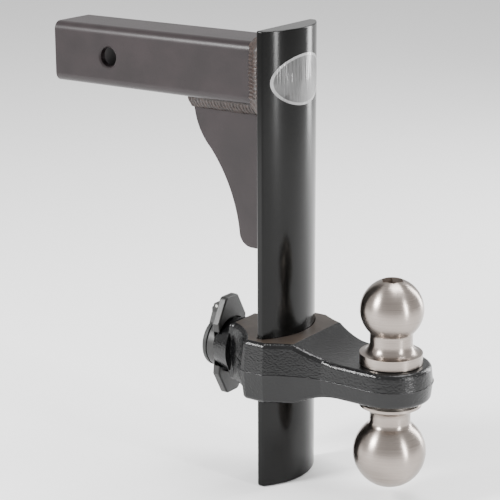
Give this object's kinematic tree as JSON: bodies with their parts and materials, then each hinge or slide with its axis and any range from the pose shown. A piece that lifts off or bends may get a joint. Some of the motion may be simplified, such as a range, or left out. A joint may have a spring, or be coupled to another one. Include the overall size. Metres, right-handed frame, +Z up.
{
  "type": "adjustable trailer hitch",
  "caption": "Adjustable drop hitch: square shank, gusset and crowned column, with a sliding, key-locked mount that carries a ball above and a ball below.",
  "frame": {"origin": "centre of the hitch-pin bore, on the shank's mid plane", "axes": "+X from the towing vehicle to the trailer, +Y along the hitch pin, +Z up along the column"},
  "size_m": [0.3531, 0.1012, 0.3776],
  "materials": {
    "frame_coat": "satin black powder coat",
    "column_coat": "gloss black powder coat",
    "forging_coat": "gloss black over pebbled forging",
    "emblem": "gloss printed film, red, silver and black",
    "ball_steel": "turned and brushed stainless steel",
    "zinc": "zinc plated steel",
    "spring_steel": "oiled spring steel",
    "knob_coat": "matte black coated zinc casting",
    "chrome_lock": "bright chrome",
    "brass_lock": "nickelled brass",
    "cap_rubber": "matte black rubber"
  },
  "bodies": {
    "drawbar": {"shank_tube": "frame_coat", "column_bar": "column_coat", "gusset_plate": "frame_coat", "shank_weld": "frame_coat", "gusset_shank_weld": "frame_coat", "gusset_column_weld": "frame_coat", "emblem_decal": "emblem"},
    "ball_mount": {"ball_mount_body": "forging_coat", "upper_ball": "ball_steel", "lower_ball": "ball_steel", "ball_lock_washer": "zinc", "guide_roll_pin": "zinc", "knob_retaining_pin": "zinc", "plunger_spring": "spring_steel"},
    "plunger": {"lock_plunger": "zinc", "cam_pin": "zinc"},
    "knob": {"lock_knob": "knob_coat", "lock_cylinder": "chrome_lock", "dust_cap_hinge_pin": "zinc"},
    "plug": {"key_plug": "brass_lock", "lock_cam": "zinc"},
    "bolt": {"lock_bolt": "zinc"},
    "cap": {"dust_cap": "cap_rubber"}
  },
  "joints": [
    {"name": "mount_slide", "type": "slide", "parent": "drawbar", "child": "ball_mount", "axis": [0, 0, 1], "range_m": [-0.0762, 0.0508]},
    {"name": "knob_turn", "type": "hinge", "parent": "ball_mount", "child": "knob", "pos_m": [0.15875, 0, -0.2373], "axis": [1, 0, 0], "range_deg": [0, 90]},
    {"name": "plunger_slide", "type": "slide", "parent": "ball_mount", "child": "plunger", "axis": [1, 0, 0], "range_m": [0, 0.01201], "deforming": ["plunger_spring"]},
    {"name": "key_turn", "type": "hinge", "parent": "knob", "child": "plug", "pos_m": [0.15875, 0, -0.2373], "axis": [1, 0, 0], "range_deg": [0, 90]},
    {"name": "bolt_throw", "type": "slide", "parent": "knob", "child": "bolt", "axis": [0, 1, 0], "range_m": [0, 0.00351]},
    {"name": "dust_cap_hinge", "type": "hinge", "parent": "knob", "child": "cap", "pos_m": [0.09715, 0, -0.2038], "axis": [0, 1, 0], "range_deg": [0, 110]}
  ],
  "couplings": [
    {"joint": "plunger_slide", "follows": "knob_turn", "m_per_rad": 0.0076394},
    {"joint": "bolt_throw", "follows": "key_turn", "m_per_rad": 0.0022282}
  ]
}
